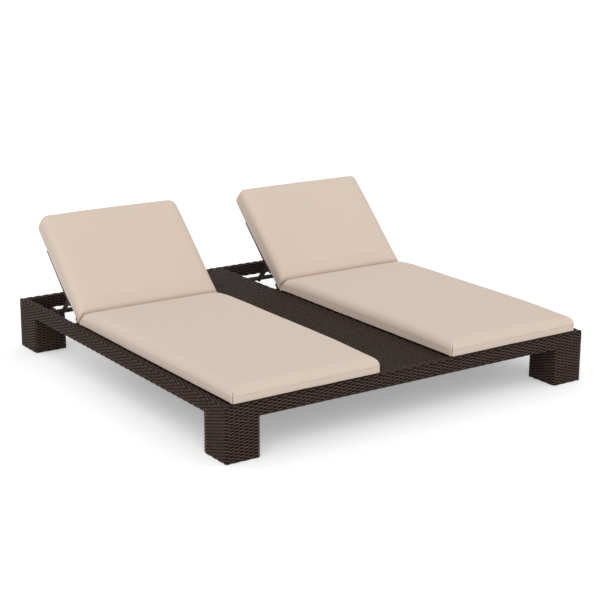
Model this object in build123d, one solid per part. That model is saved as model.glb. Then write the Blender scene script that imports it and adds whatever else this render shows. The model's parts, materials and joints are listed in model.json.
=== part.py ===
from build123d import *
from math import atan2, cos, degrees, hypot, radians, sin, sqrt
import os

# A double chaise lounger: one low woven frame on four block legs, a woven table strip down
# its middle, and on each side a seat cushion and a backrest that lies flat or stands up.
# X runs across, the head end is towards +Y and +Z is up. The origin lies on the floor
# under the middle of the frame. Every size is in millimetres.

# Frame as it is seen, weave included
overall_length = 2000.0
overall_width = 1986.0
frame_height = 248.0
rail_width = 34.0
rail_depth = 64.0
table_width = 394.0
leg_width = 163.0
leg_length = 174.0
glide_height = 5.0
glide_radius = 9.0

# Weave skins and the welded aluminium frame inside them
weave_thickness = 5.0
rail_wall = 2.0
leg_bar = 20.0
table_slat_width = 25.0
table_slat_height = 15.0
table_slat_count = 5

# Seat decks, the slats that carry them, and the stretchers across the wells
deck_rise = 5.0
deck_thickness = 10.0
deck_gap = 1.0
deck_end_gap = 44.0
seat_slat_width = 25.0
seat_slat_height = 20.0
seat_slat_count = 4
seat_slat_end = 210.0
hinge_beam_width = 20.0
hinge_beam_height = 40.0
hinge_beam_gap = 28.0
stretcher_width = 24.0
stretcher_height = 16.0
stretcher_distance = 145.0

# Hinge axis of the backrests, and how far they turn
hinge_distance = 555.0
hinge_drop = 8.0
rest_angle = 44.3
lift_angle = 4.0
pin_radius = 4.0
pin_clearance = 0.05
pin_clip_radius = 7.0
pin_clip_thickness = 2.0
eye_radius = 7.5
bracket_thickness = 5.0
bracket_length = 40.0
bracket_offset = 7.0
bracket_height = 42.0
bracket_screw_spacing = 22.0
bracket_screw_rise = 10.0

# Backrest frame: its gap to the walls of the well, then places measured from the hinge axis,
# along the backrest and up from its plane
back_frame_gap = 18.0
back_frame_start = -5.0
back_frame_end = 540.0
back_frame_lift = 11.0
back_tube_width = 20.0
back_tube_height = 10.0
back_tube_wall = 1.5
back_tube_solid_end = 45.0
back_low_tube_start = 14.0
back_mid_tube_gap = 4.0
back_weave_start = 5.0
back_weave_thickness = 4.0
lug_thickness = 8.0
lug_length = 34.0

# Folding stay: two arms on a rod under the backrest, and a foot bar that lies on the racks
stay_reach = 170.0
stay_rod_lift = 8.0
stay_rod_radius = 5.0
stay_arm_width = 24.0
stay_arm_thickness = 8.0
stay_arm_inset = 28.0
stay_lug_radius = 9.0
stay_bar_radius = 5.0
stay_bar_end_gap = 3.0
spacer_radius = 8.0
side_gap = 0.3

# Notched racks on the walls of the wells
rack_thickness = 12.0
rack_height = 24.0
rack_tip_gap = 0.5
rack_margin = 26.0
notch_depth = 9.0
notch_clearance = 1.0
notch_angles = [12.0, 24.0, 34.0, 44.3]
rack_screw_margin = 30.0

# Fasteners
screw_radius = 2.5
screw_head_radius = 5.0
screw_head_height = 3.0
screw_tip = 4.0

# Cushions and the hood that holds each back cushion on its frame
cushion_side_gap = 9.0
cushion_front_gap = 8.0
seat_cushion_thickness = 66.0
seat_crown = 11.0
seat_end_gap = 24.0
back_cushion_thickness = 66.0
back_crown = 12.0
back_cushion_start = -16.0
back_cushion_end = 578.0
back_end_slant = 12.0
cushion_edge_radius = 8.0
end_crown = 1.5
crown_step_count = 5
side_bulge = 4.0
seat_corner_radius = 58.0
seat_front_corner_radius = 12.0
back_top_corner_radius = 50.0
back_low_corner_radius = 16.0
seat_slant_gap = 1.0
hood_start = 424.0
hood_thickness = 2.6
hood_side_gap = 1.5

# Places that follow from the sizes above
half_length = overall_length / 2
half_width = overall_width / 2
rail_inner_x = half_width - rail_width
rail_inner_y = half_length - rail_width
table_edge_x = table_width / 2
well_width = rail_inner_x - table_edge_x
half_well = well_width / 2
well_centre = (rail_inner_x + table_edge_x) / 2
back_frame_half_width = half_well - back_frame_gap
cushion_half_width = half_well - cushion_side_gap
leg_top = frame_height - rail_depth
deck_top = frame_height + deck_rise
deck_low = deck_top - deck_thickness
hinge_y = half_length - hinge_distance
hinge_z = frame_height - hinge_drop
top_angle = rest_angle + lift_angle
back_frame_top = back_frame_lift + back_tube_height
back_weave_top = back_frame_top + back_weave_thickness
back_end_angle = degrees(atan2(back_end_slant, back_cushion_thickness))
back_tube_inner_x = back_frame_half_width - back_tube_width
stay_radius = hypot(stay_reach, stay_rod_lift)
stay_angle = degrees(atan2(stay_rod_lift, stay_reach))
back_mid_tube_start = 2 * stay_radius + stay_arm_width / 2 + back_mid_tube_gap
stay_arm_x = back_frame_half_width - stay_arm_inset - stay_arm_thickness / 2
rack_top = hinge_z - stay_bar_radius - rack_tip_gap
hood_low = back_frame_lift - hood_thickness
SIDES = {"left": -1, "right": 1}
ENDS = {"foot": -1, "head": 1}


# Small helpers

def block(xs, ys, zs):
    """A box between two values along each axis."""
    size = Box(xs[1] - xs[0], ys[1] - ys[0], zs[1] - zs[0], align=(Align.MIN,) * 3)
    return Pos(xs[0], ys[0], zs[0]) * size


def around(centre, size):
    """A pair of values that lie size apart with centre between them."""
    return (centre - size / 2, centre + size / 2)


def shrunk(pair, margin):
    """The pair with both values moved inwards."""
    return (pair[0] + margin, pair[1] - margin)


def grown(pair, margin):
    """The pair with both values moved outwards."""
    return shrunk(pair, -margin)


def signed(sign, low, high):
    """The pair low, high on the side of the origin that sign gives."""
    return tuple(sorted((sign * low, sign * high)))


def disc(radius, height):
    """A round disc or rod that stands on its end."""
    return Cylinder(radius, height, align=(Align.CENTER, Align.CENTER, Align.MIN))


def rod_along_x(radius, xs, y, z):
    """A round rod along X."""
    return Pos(xs[0], y, z) * Rot(0, 90, 0) * disc(radius, xs[1] - xs[0])


def ring_along_x(outer, inner, xs, y, z):
    """A round sleeve along X."""
    return rod_along_x(outer, xs, y, z) - rod_along_x(inner, xs, y, z)


def group(solids):
    """Several separate solids as one node."""
    return Compound([s for shape in solids for s in shape.solids()])


def in_well(sign, shape):
    """Moves a shape from the middle line to the middle of one well."""
    return Pos(sign * well_centre, 0, 0) * shape


def on_hinge(shape, angle=rest_angle):
    """Places a shape drawn along the backrest, with the hinge axis at its origin."""
    return Pos(0, hinge_y, hinge_z) * Rot(angle, 0, 0) * shape


def both_sides(make):
    """The same thing at -X and at +X."""
    return [make(sign) for sign in SIDES.values()]


# Frame: hollow rails, table rails and cross members

rail_z = (frame_height - rail_depth, frame_height)
tube_z = shrunk(rail_z, weave_thickness)
end_tube_x = shrunk((-half_width, half_width), weave_thickness)
side_tube_y = grown((-rail_inner_y, rail_inner_y), weave_thickness)
slat_z = (deck_low - seat_slat_height, deck_low)
beam_y = (hinge_y - hinge_beam_gap - hinge_beam_width, hinge_y - hinge_beam_gap)
beam_z = (deck_low - hinge_beam_height, deck_low)
stretcher_y = around(half_length - stretcher_distance, stretcher_width)
stretcher_z = (leg_top, leg_top + stretcher_height)
cross_x = grown((-half_well, half_well), weave_thickness)


def end_tube_span(sign):
    """Y of the foot or head rail's tube."""
    return shrunk(signed(sign, rail_inner_y, half_length), weave_thickness)


def side_tube_span(sign):
    """X of a side rail's tube."""
    return shrunk(signed(sign, rail_inner_x, half_width), weave_thickness)


def table_tube_span(sign):
    """X of a rail under an edge of the table."""
    tube_width = rail_width - weave_thickness - weave_thickness
    outer = table_edge_x - weave_thickness
    return signed(sign, outer - tube_width, outer)


def hollow_along_x(xs, ys, zs, wall):
    return block(xs, ys, zs) - block(xs, shrunk(ys, wall), shrunk(zs, wall))


def hollow_along_y(xs, ys, zs, wall):
    return block(xs, ys, zs) - block(shrunk(xs, wall), ys, shrunk(zs, wall))


def table_slats():
    """Flat bars across the table, between its two rails."""
    reach = table_tube_span(1)[0]
    pitch = (rail_inner_y + rail_inner_y) / table_slat_count
    zs = (frame_height - weave_thickness - table_slat_height, frame_height - weave_thickness)
    places = [-rail_inner_y + pitch * (i + 0.5) for i in range(table_slat_count)]
    return [block((-reach, reach), around(y, table_slat_width), zs) for y in places]


def seat_slats():
    """Bars that carry one seat deck, about the middle of a well."""
    first = -rail_inner_y + seat_slat_end
    last = beam_y[0] - seat_slat_end
    pitch = (last - first) / (seat_slat_count - 1)
    places = [first + pitch * i for i in range(seat_slat_count)]
    return [block(cross_x, around(y, seat_slat_width), slat_z) for y in places]


def hinge_beam():
    """Deep bar that ends the seat deck, just before the hinge."""
    return block(cross_x, beam_y, beam_z)


def head_stretcher():
    """Thin bar across the open well, lying on the head leg at its outer end."""
    return block(cross_x, stretcher_y, stretcher_z)


# Legs

def leg_span(side, end, margin=0):
    """X and Y of a leg, moved inwards by a margin."""
    xs = shrunk(signed(side, half_width - leg_width, half_width), margin)
    ys = shrunk(signed(end, half_length - leg_length, half_length), margin)
    return xs, ys


def leg_uprights(side, end):
    """The four corner bars of a leg. Those under a rail run up to its tube."""
    xs, ys = leg_span(side, end, weave_thickness + leg_bar / 2)
    bars = []
    for x in xs:
        for y in ys:
            under_rail = abs(x) > rail_inner_x or abs(y) > rail_inner_y
            top = tube_z[0] if under_rail else leg_top - weave_thickness
            bars.append(block(around(x, leg_bar), around(y, leg_bar), (glide_height, top)))
    return bars


def leg_frame(side, end):
    """Corner bars joined by a ring of bars at the top and one at the bottom."""
    xs, ys = leg_span(side, end, weave_thickness)
    frame = leg_uprights(side, end)[0]
    for bar in leg_uprights(side, end)[1:]:
        frame += bar
    top = leg_top - weave_thickness
    for zs in ((glide_height, glide_height + leg_bar), (top - leg_bar, top)):
        inside = block(shrunk(xs, leg_bar), shrunk(ys, leg_bar), zs)
        frame += block(xs, ys, zs) - inside
    return frame


def leg_weave(side, end, members):
    """Woven sleeve round a leg, closed at its top."""
    outer_x, outer_y = leg_span(side, end)
    inner_x, inner_y = leg_span(side, end, weave_thickness)
    skin = block(outer_x, outer_y, (glide_height, leg_top))
    skin -= block(inner_x, inner_y, (glide_height, leg_top - weave_thickness))
    return cut_by(skin, members)


def leg_glides():
    """A round glide under every corner bar."""
    glides = []
    for side in SIDES.values():
        for end in ENDS.values():
            xs, ys = leg_span(side, end, weave_thickness + leg_bar / 2)
            for x in xs:
                for y in ys:
                    glides.append(Pos(x, y, 0) * disc(glide_radius, glide_height))
    return group(glides)


# Weave skins

def cut_by(skin, members):
    """A skin with an opening for each member that passes through it."""
    for member in members:
        skin -= member
    return skin


def frame_members():
    """Every bar and tube of the welded frame as a full block, to cut the skins with."""
    members = [block(end_tube_x, end_tube_span(sign), tube_z) for sign in ENDS.values()]
    for sign in SIDES.values():
        members.append(block(side_tube_span(sign), side_tube_y, tube_z))
        members.append(block(table_tube_span(sign), side_tube_y, tube_z))
        crossings = seat_slats() + [hinge_beam(), head_stretcher()]
        members += [in_well(sign, bar) for bar in crossings]
        members += well_screws(sign)
        for end in ENDS.values():
            members += leg_uprights(sign, end)
    return members


def side_weave(sign, members):
    ys = (-rail_inner_y, rail_inner_y)
    return cut_by(block(signed(sign, rail_inner_x, half_width), ys, rail_z), members)


def end_weave(sign, members):
    xs = (-half_width, half_width)
    return cut_by(block(xs, signed(sign, rail_inner_y, half_length), rail_z), members)


def table_top_weave():
    xs = (-table_edge_x, table_edge_x)
    return block(xs, (-rail_inner_y, rail_inner_y), (frame_height - weave_thickness, frame_height))


def table_side_weaves(members):
    """The strips of weave that close the table's two long sides."""
    ys = (-rail_inner_y, rail_inner_y)
    zs = (rail_z[0], frame_height - weave_thickness)
    spans = [signed(sign, table_edge_x - weave_thickness, table_edge_x) for sign in SIDES.values()]
    strips = [block(xs, ys, zs) for xs in spans]
    return group([cut_by(strip, members) for strip in strips])


def seat_deck():
    """Woven deck of one seat, lying on its slats."""
    xs = shrunk((-half_well, half_well), deck_gap)
    return block(xs, (-rail_inner_y + deck_gap, hinge_y - deck_end_gap), (deck_low, deck_top))


# Hinges

def wall_screw(sign, x_face, y, z):
    """A pan-head screw that goes through a plate and the weave into the rail behind."""
    tip_x = half_well + weave_thickness + rail_wall + screw_tip
    head = rod_along_x(screw_head_radius, signed(sign, x_face - screw_head_height, x_face), y, z)
    return head + rod_along_x(screw_radius, signed(sign, x_face, tip_x), y, z)


def bracket_screw_places():
    """Y and Z of the screws of one hinge bracket."""
    z = hinge_z + eye_radius - bracket_height + bracket_screw_rise
    return [(y, z) for y in around(hinge_y - bracket_offset, bracket_screw_spacing)]


def hinge_bracket(sign):
    """Plate on a wall of the well that holds a hinge pin."""
    xs = signed(sign, half_well - bracket_thickness, half_well)
    zs = (hinge_z + eye_radius - bracket_height, hinge_z)
    plate = block(xs, around(hinge_y - bracket_offset, bracket_length), (zs[0], hinge_z - eye_radius))
    plate += block(xs, around(hinge_y, eye_radius + eye_radius), zs)
    plate += rod_along_x(eye_radius, xs, hinge_y, hinge_z)
    plate -= rod_along_x(pin_radius + pin_clearance, xs, hinge_y, hinge_z)
    for y, z in bracket_screw_places():
        plate -= rod_along_x(screw_radius, xs, y, z)
    return plate


def hinge_pin(sign):
    """Pin from the bracket through the backrest's lug, with a clip on its inner end."""
    lug_inner = back_frame_half_width - lug_thickness
    clip_x = lug_inner - side_gap - pin_clip_thickness
    clip_xs = signed(sign, clip_x, lug_inner - side_gap)
    pin = rod_along_x(pin_radius, signed(sign, clip_x, half_well), hinge_y, hinge_z)
    return pin + rod_along_x(pin_clip_radius, clip_xs, hinge_y, hinge_z)


def hinge_bush(sign):
    """Spacer on the pin between the bracket and the lug."""
    xs = signed(sign, back_frame_half_width + side_gap, half_well - bracket_thickness)
    return ring_along_x(eye_radius, pin_radius + pin_clearance, xs, hinge_y, hinge_z)


def rack_span():
    """Y of the first and last place of the foot bar's middle, from the hinge axis."""
    near = 2 * stay_radius * cos(radians(top_angle + stay_angle))
    far = 2 * stay_radius * cos(radians(stay_angle))
    return near, far


def rack_screw_places():
    """Y and Z of the screws of one rack."""
    near, far = rack_span()
    ends = shrunk((near - rack_margin, far + rack_margin), rack_screw_margin)
    return [(hinge_y + y, rack_top - rack_height / 2 - screw_head_radius / 2) for y in ends]


def rack(sign):
    """Notched bar on a wall of the well, for one end of the foot bar."""
    near, far = rack_span()
    xs = signed(sign, half_well - rack_thickness, half_well)
    ys = (hinge_y + near - rack_margin, hinge_y + far + rack_margin)
    bar = block(xs, ys, (rack_top - rack_height, rack_top))
    radius = stay_bar_radius + notch_clearance
    for angle in notch_angles:
        y = hinge_y + 2 * stay_radius * cos(radians(angle + stay_angle))
        floor_z = rack_top - notch_depth + radius
        bar -= rod_along_x(radius, xs, y, floor_z)
        bar -= block(xs, around(y, radius + radius), (floor_z, rack_top))
    for y, z in rack_screw_places():
        bar -= rod_along_x(screw_radius, xs, y, z)
    return bar


def well_screws(well):
    """The screws that hold the hinge brackets and the racks of one well."""
    screws = []
    for sign in SIDES.values():
        for y, z in bracket_screw_places():
            screws.append(wall_screw(sign, half_well - bracket_thickness, y, z))
        for y, z in rack_screw_places():
            screws.append(wall_screw(sign, half_well - rack_thickness, y, z))
    return [in_well(well, screw) for screw in screws]


# Backrest frame, drawn along Y from the hinge axis and then placed at its angle

def back_side_tube(sign):
    """Flat side tube with the hinge lug under its lower end and the lug of the stay rod."""
    xs = signed(sign, back_tube_inner_x, back_frame_half_width)
    zs = (back_frame_lift, back_frame_top)
    tube = block(xs, (back_frame_start, back_frame_end), zs)
    bore_y = (back_tube_solid_end, back_frame_end)
    tube -= block(shrunk(xs, back_tube_wall), bore_y, shrunk(zs, back_tube_wall))
    lug_x = signed(sign, back_frame_half_width - lug_thickness, back_frame_half_width)
    lug = rod_along_x(eye_radius, lug_x, 0, 0)
    lug += block(lug_x, (-eye_radius, 0), (0, back_frame_lift + back_tube_wall))
    lug += block(lug_x, (0, lug_length), (-eye_radius / 2, back_frame_lift + back_tube_wall))
    tube += lug
    tube -= block(lug_x, (-eye_radius - lug_length, back_frame_start), (back_frame_lift, back_frame_top))
    tube -= rod_along_x(pin_radius + pin_clearance, lug_x, 0, 0)
    stay_x = signed(sign, back_tube_inner_x, back_tube_inner_x + lug_thickness)
    stay_lug = rod_along_x(stay_lug_radius, stay_x, stay_reach, stay_rod_lift)
    above = (back_frame_top, back_frame_top + stay_lug_radius)
    stay_lug -= block(stay_x, around(stay_reach, 3 * stay_lug_radius), above)
    return tube + stay_lug


def back_cross_tubes():
    """Bars across the backrest at its foot, just past the folded stay, and at its top."""
    xs = (-back_tube_inner_x, back_tube_inner_x)
    zs = (back_frame_lift, back_frame_top)
    starts = (back_low_tube_start, back_mid_tube_start, back_frame_end - back_tube_width)
    return [block(xs, (y, y + back_tube_width), zs) for y in starts]


def stay_rod():
    """Rod under the backrest that the stay turns on."""
    xs = (-back_tube_inner_x, back_tube_inner_x)
    return rod_along_x(stay_rod_radius, xs, stay_reach, stay_rod_lift)


def stay_spacer(sign):
    """Sleeve on the stay rod that keeps an arm in its place."""
    xs = signed(sign, stay_arm_x + stay_arm_thickness / 2 + side_gap, back_tube_inner_x)
    return ring_along_x(spacer_radius, stay_rod_radius, xs, stay_reach, stay_rod_lift)


def back_weave():
    """Woven panel that the back cushion lies on."""
    xs = (-back_frame_half_width, back_frame_half_width)
    return block(xs, (back_weave_start, back_frame_end), (back_frame_top, back_weave_top))


# Stay, drawn along Y from the rod it turns on

def stay_arm(sign):
    """Flat arm with a round eye at each end."""
    xs = around(sign * stay_arm_x, stay_arm_thickness)
    arm = block(xs, (0, stay_radius), around(0, stay_arm_width))
    arm += rod_along_x(stay_arm_width / 2, xs, 0, 0)
    arm += rod_along_x(stay_arm_width / 2, xs, stay_radius, 0)
    arm -= rod_along_x(stay_rod_radius + pin_clearance, xs, 0, 0)
    return arm - rod_along_x(stay_bar_radius, xs, stay_radius, 0)


def stay_foot_bar():
    """Round bar through both arms that lies over the racks."""
    reach = half_well - stay_bar_end_gap
    return rod_along_x(stay_bar_radius, (-reach, reach), stay_radius, 0)


def on_stay(shape):
    """Places a shape drawn along the stay, with its rod at the origin."""
    return on_hinge(Pos(0, stay_reach, stay_rod_lift) * Rot(-2 * rest_angle - stay_angle, 0, 0) * shape)


# Cushions

def arc_points(centre_x, centre_z, radius, start, end):
    """Start, middle and end of an arc, angles in degrees."""
    angles = [radians(a) for a in (start, (start + end) / 2, end)]
    return [(centre_x + radius * cos(a), centre_z + radius * sin(a)) for a in angles]


def cushion_section(y, half, low, high, crown):
    """Closed outline of a cushion across its width: flat below, full at its sides, crowned above."""
    edge = min(cushion_edge_radius, (high - low) / 3)
    inner = half - edge
    right_low = arc_points(inner, low + edge, edge, -90, 0)
    right_high = arc_points(inner, high - edge, edge, 0, 90)
    left_high = [(-x, z) for x, z in reversed(right_high)]
    left_low = [(-x, z) for x, z in reversed(right_low)]
    middle_z = (low + high) / 2

    def at(point):
        return (point[0], y, point[1])

    def arc(points):
        return ThreePointArc(*[at(p) for p in points])

    edges = [
        Line(at(left_low[2]), at(right_low[0])),
        arc(right_low),
        arc([right_low[2], (half + side_bulge, middle_z), right_high[0]]),
        arc(right_high),
        arc([right_high[2], (0, high + crown), left_high[0]]),
        arc(left_high),
        arc([left_high[2], (-half - side_bulge, middle_z), left_low[0]]),
        arc(left_low),
    ]
    return Wire(edges)


def corner_inset(distance, radius):
    """How far a rounded corner draws the side in at a distance from the end."""
    if distance >= radius:
        return 0
    return radius - sqrt(radius * radius - (radius - distance) * (radius - distance))


end_shares = [0.0, 0.12, 0.4, 1.0]


def crowned_cushion(start, end, low, thickness, crown, start_radius, end_radius):
    """Soft block that thins at its ends, is rounded at its corners and swells in its middle."""
    edge = cushion_edge_radius
    high = low + thickness
    places = [start + share * start_radius for share in end_shares]
    inner = (start + start_radius, end - end_radius)
    step = (inner[1] - inner[0]) / (crown_step_count + 1)
    places += [inner[0] + step * (i + 1) for i in range(crown_step_count)]
    places += [end - share * end_radius for share in reversed(end_shares)]
    sections = []
    for y in places:
        from_end = min(y - start, end - y)
        radius = start_radius if y - start < end - y else end_radius
        along = (y - start) / (end - start)
        swell = end_crown + (crown - end_crown) * sin(radians(180 * along))
        thin = corner_inset(min(from_end, edge), edge)
        half = cushion_half_width - corner_inset(from_end, radius)
        sections.append(cushion_section(y, half, low + thin, high - thin, swell))
    return Solid.make_loft(sections, ruled=True)


def along_low_end(ys):
    """A wide block, drawn along the backrest, with ys measured from the back cushion's slanted low end."""
    wide = (-half_well, half_well)
    return Pos(0, back_cushion_start, back_weave_top) * Rot(-back_end_angle, 0, 0) * block(wide, ys, wide)


def seat_cushion():
    """Seat cushion that lies over the foot rail and is cut to the low end of the raised backrest."""
    body = crowned_cushion(cushion_front_gap - half_length, hinge_y - seat_end_gap, deck_top,
                           seat_cushion_thickness, seat_crown, seat_front_corner_radius, seat_corner_radius)
    return body - on_hinge(along_low_end((-seat_slant_gap, half_well)), top_angle)


def back_cushion():
    """Back cushion, drawn along the backrest above its weave, with its low end slanted."""
    body = crowned_cushion(back_cushion_start, back_cushion_end, back_weave_top, back_cushion_thickness,
                           back_crown, back_low_corner_radius, back_top_corner_radius)
    return body - along_low_end((-half_well, 0))


def hood_outline(half, end, radius, start, zs):
    """A plate with its two top corners rounded."""
    plate = block((-half, half), (start, end), zs)
    for sign in SIDES.values():
        corner_x = signed(sign, half - radius, half)
        corner = block(corner_x, (end - radius, end), zs)
        plate -= corner - Pos(sign * (half - radius), end - radius, zs[0]) * disc(radius, zs[1] - zs[0])
    return plate


def back_hood():
    """Pocket under the cushion's top end that slips over the top of the backrest frame."""
    half = cushion_half_width - hood_side_gap
    end = back_cushion_end - hood_side_gap
    radius = back_top_corner_radius
    outside = hood_outline(half, end, radius, hood_start, (hood_low, back_weave_top))
    inner_zs = (back_frame_lift, back_weave_top)
    wall = hood_thickness
    return outside - hood_outline(half - wall, end - wall, radius - wall, hood_start, inner_zs)


# The parts, by the name of their node

def frame_parts():
    members = frame_members()
    parts = {}
    for name, sign in ENDS.items():
        parts[f"{name}_rail_tube"] = hollow_along_x(end_tube_x, end_tube_span(sign), tube_z, rail_wall)
        parts[f"{name}_rail_weave"] = end_weave(sign, members)
    for name, sign in SIDES.items():
        side_tube = hollow_along_y(side_tube_span(sign), side_tube_y, tube_z, rail_wall)
        table_tube = hollow_along_y(table_tube_span(sign), side_tube_y, tube_z, rail_wall)
        parts[f"{name}_rail_tube"] = cut_by(side_tube, well_screws(sign))
        parts[f"{name}_table_tube"] = cut_by(table_tube, well_screws(sign))
        parts[f"{name}_rail_weave"] = side_weave(sign, members)
    parts["table_slats"] = group(table_slats())
    parts["table_top_weave"] = table_top_weave()
    parts["table_side_weaves"] = table_side_weaves(members)
    for end_name, end in ENDS.items():
        for side_name, side in SIDES.items():
            parts[f"{end_name}_{side_name}_leg_frame"] = leg_frame(side, end)
            parts[f"{end_name}_{side_name}_leg_weave"] = leg_weave(side, end, members)
    parts["leg_glides"] = leg_glides()
    return parts


def well_parts(name, sign):
    """The fixed parts of one side."""
    local = {
        "seat_slats": group(seat_slats()),
        "hinge_beam": hinge_beam(),
        "head_stretcher": head_stretcher(),
        "seat_deck": seat_deck(),
        "hinge_brackets": group(both_sides(hinge_bracket)),
        "hinge_pins": group(both_sides(hinge_pin)),
        "hinge_bushes": group(both_sides(hinge_bush)),
        "stay_racks": group(both_sides(rack)),
        "seat_cushion": seat_cushion(),
    }
    return {f"{name}_{key}": in_well(sign, shape) for key, shape in local.items()}


def back_parts(name, sign):
    """The parts of one backrest and of its stay."""
    local = {
        "back_side_tubes": on_hinge(group(both_sides(back_side_tube))),
        "back_cross_tubes": on_hinge(group(back_cross_tubes())),
        "back_weave": on_hinge(back_weave()),
        "back_cushion": on_hinge(back_cushion()),
        "back_hood": on_hinge(back_hood()),
        "stay_rod": on_hinge(stay_rod()),
        "stay_spacers": on_hinge(group(both_sides(stay_spacer))),
        "stay_arms": on_stay(group(both_sides(stay_arm))),
        "stay_foot_bar": on_stay(stay_foot_bar()),
    }
    return {f"{name}_{key}": in_well(sign, shape) for key, shape in local.items()}


def main():
    os.makedirs("parts", exist_ok=True)
    parts = frame_parts()
    for name, sign in SIDES.items():
        parts.update(well_parts(name, sign))
        parts.update(back_parts(name, sign))
    parts["well_screws"] = group([screw for sign in SIDES.values() for screw in well_screws(sign)])
    for name, shape in parts.items():
        export_step(shape, f"parts/{name}.step")
    print(len(parts), "nodes")


main()
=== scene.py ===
# %% [markdown]
# A double chaise lounger, dressed over its construction model.
# The frame of the lounger comes in as fixed parts in metres: +Z is up, the head end is towards
# +Y and the origin lies on the floor under the middle. Metal parts keep their own shape here and
# only get a finish. Woven and padded parts are made again as real strands and soft cloth.

# %% Load the frame
import json
import math
from contextlib import contextmanager

import bmesh
import bpy
import numpy as np
from mathutils import Matrix, Vector


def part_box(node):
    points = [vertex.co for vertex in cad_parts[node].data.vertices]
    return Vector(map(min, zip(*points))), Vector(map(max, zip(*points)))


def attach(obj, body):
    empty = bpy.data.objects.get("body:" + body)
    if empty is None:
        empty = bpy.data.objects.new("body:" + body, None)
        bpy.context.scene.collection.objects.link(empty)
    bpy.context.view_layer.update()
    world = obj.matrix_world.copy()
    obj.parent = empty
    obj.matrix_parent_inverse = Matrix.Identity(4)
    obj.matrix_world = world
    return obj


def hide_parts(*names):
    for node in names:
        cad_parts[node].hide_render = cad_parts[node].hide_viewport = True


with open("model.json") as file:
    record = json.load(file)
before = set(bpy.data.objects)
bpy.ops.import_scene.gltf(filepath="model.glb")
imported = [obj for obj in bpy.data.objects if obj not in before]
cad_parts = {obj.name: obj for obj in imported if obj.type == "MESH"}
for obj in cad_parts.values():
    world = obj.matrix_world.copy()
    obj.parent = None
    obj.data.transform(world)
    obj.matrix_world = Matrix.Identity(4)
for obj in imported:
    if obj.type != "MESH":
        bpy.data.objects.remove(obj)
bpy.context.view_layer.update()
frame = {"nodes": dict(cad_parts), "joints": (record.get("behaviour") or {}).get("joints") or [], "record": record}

# %% [markdown]
# The sizes that the dressing needs are read from the construction parts, not typed again.
# A part's box gives its lowest and highest corner at rest, which is enough for every straight
# piece. The slope of the backrests comes from the range of their hinges, because they fold down
# until they lie flat.

# %% Sizes read from the frame
SIDES = {"left": -1, "right": 1}
ENDS = {"foot": -1, "head": 1}


def low(node, axis):
    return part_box(node)[0][axis]


def high(node, axis):
    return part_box(node)[1][axis]


half_width = high("right_rail_weave", 0)
half_length = high("head_rail_weave", 1)
rail_low, rail_top = low("left_rail_weave", 2), high("left_rail_weave", 2)
rail_width = half_width - low("right_rail_weave", 0)
table_half = high("table_top_weave", 0)
table_reach = high("table_top_weave", 1)
leg_top = high("head_left_leg_weave", 2)

hinge = {j["name"]: Vector(j["pos_m"]) for j in frame["joints"] if j["name"].endswith("back_hinge")}
rest_angle = math.radians(-min(j["range_deg"][0] for j in frame["joints"] if j["name"] in hinge))
print("frame", round(2 * half_width, 3), "by", round(2 * half_length, 3), "rest angle",
      round(math.degrees(rest_angle), 1))

# %% [markdown]
# The camera stands where the photographer stood: low, at the left of the foot end, and far away
# with a long lens. Its place, its two angles and its focal length were worked out from straight
# edges of the frame, so the view is written as numbers here. The camera looks along its own -Z,
# which is why the direction back to the camera is the third column of its matrix. One helper
# puts an object into the scene, and every piece made later goes through it.

# %% Camera
camera_place = Vector((-4.01781, -5.95283, 2.31276))
camera_azimuth = math.radians(-34.36)
camera_elevation = math.radians(15.51)
camera_roll = math.radians(0.25)
camera_lens = 90.946

backwards = Vector((math.sin(camera_azimuth) * math.cos(camera_elevation),
                    -math.cos(camera_azimuth) * math.cos(camera_elevation),
                    math.sin(camera_elevation)))
level_right = Vector((0, 0, 1)).cross(backwards).normalized()
level_up = backwards.cross(level_right)
right = math.cos(camera_roll) * level_right + math.sin(camera_roll) * level_up
up = math.cos(camera_roll) * level_up - math.sin(camera_roll) * level_right


def new_piece(name, data):
    """A new object in the scene."""
    piece = bpy.data.objects.new(name, data)
    bpy.context.scene.collection.objects.link(piece)
    return piece


camera = new_piece("camera", bpy.data.cameras.new("camera"))
camera.data.lens = camera_lens
camera.data.sensor_width = 36.0
camera.data.clip_end = 200.0
camera.matrix_world = Matrix((right, up, backwards)).transposed().to_4x4()
camera.location = camera_place
bpy.context.scene.camera = camera
print("camera at", tuple(round(c, 2) for c in camera_place))

# %% [markdown]
# Every finish on the lounger has fine detail that is too small to model: the drawn lines of a
# resin strand, the pebbled skin of powder coat, the threads of canvas. One shader node group
# makes cloudy colour change and small bumps, and each material places it with its own scale and
# colours. The group only hands out a colour, a roughness and a height. The shader itself stays
# in the material. A node is easiest to read when its settings stand beside it, so one helper
# makes a node, feeds its sockets, each with a value or with a link from another node, and hands
# out what the node puts out. A few more helpers stand for the kinds that come again and again.

# %% Node group for a mottled surface
def feed(tree, node, inputs):
    """Gives each named socket of a node a value, or a link from another node's output."""
    for key, value in inputs.items():
        if isinstance(value, bpy.types.NodeSocket):
            tree.links.new(value, node.inputs[key])
        else:
            node.inputs[key].default_value = value


def add_node(tree, kind, inputs=None, **values):
    """The outputs of a new node, with some of its properties and sockets set."""
    node = tree.nodes.new(kind)
    for key, value in values.items():
        setattr(node, key, value)
    feed(tree, node, inputs or {})
    return node.outputs


def calculated(tree, operation, first, second, **values):
    """The result of a calculation with two numbers."""
    return add_node(tree, "ShaderNodeMath", {0: first, 1: second}, operation=operation, **values)[0]


def vector_result(tree, operation, inputs):
    """The result of a calculation with vectors."""
    return add_node(tree, "ShaderNodeVectorMath", inputs, operation=operation)["Vector"]


def ranged(tree, value, least, most):
    """A value from nought to one, brought to another range."""
    return add_node(tree, "ShaderNodeMapRange", {"Value": value, "To Min": least,
                                                 "To Max": most})["Result"]


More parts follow.
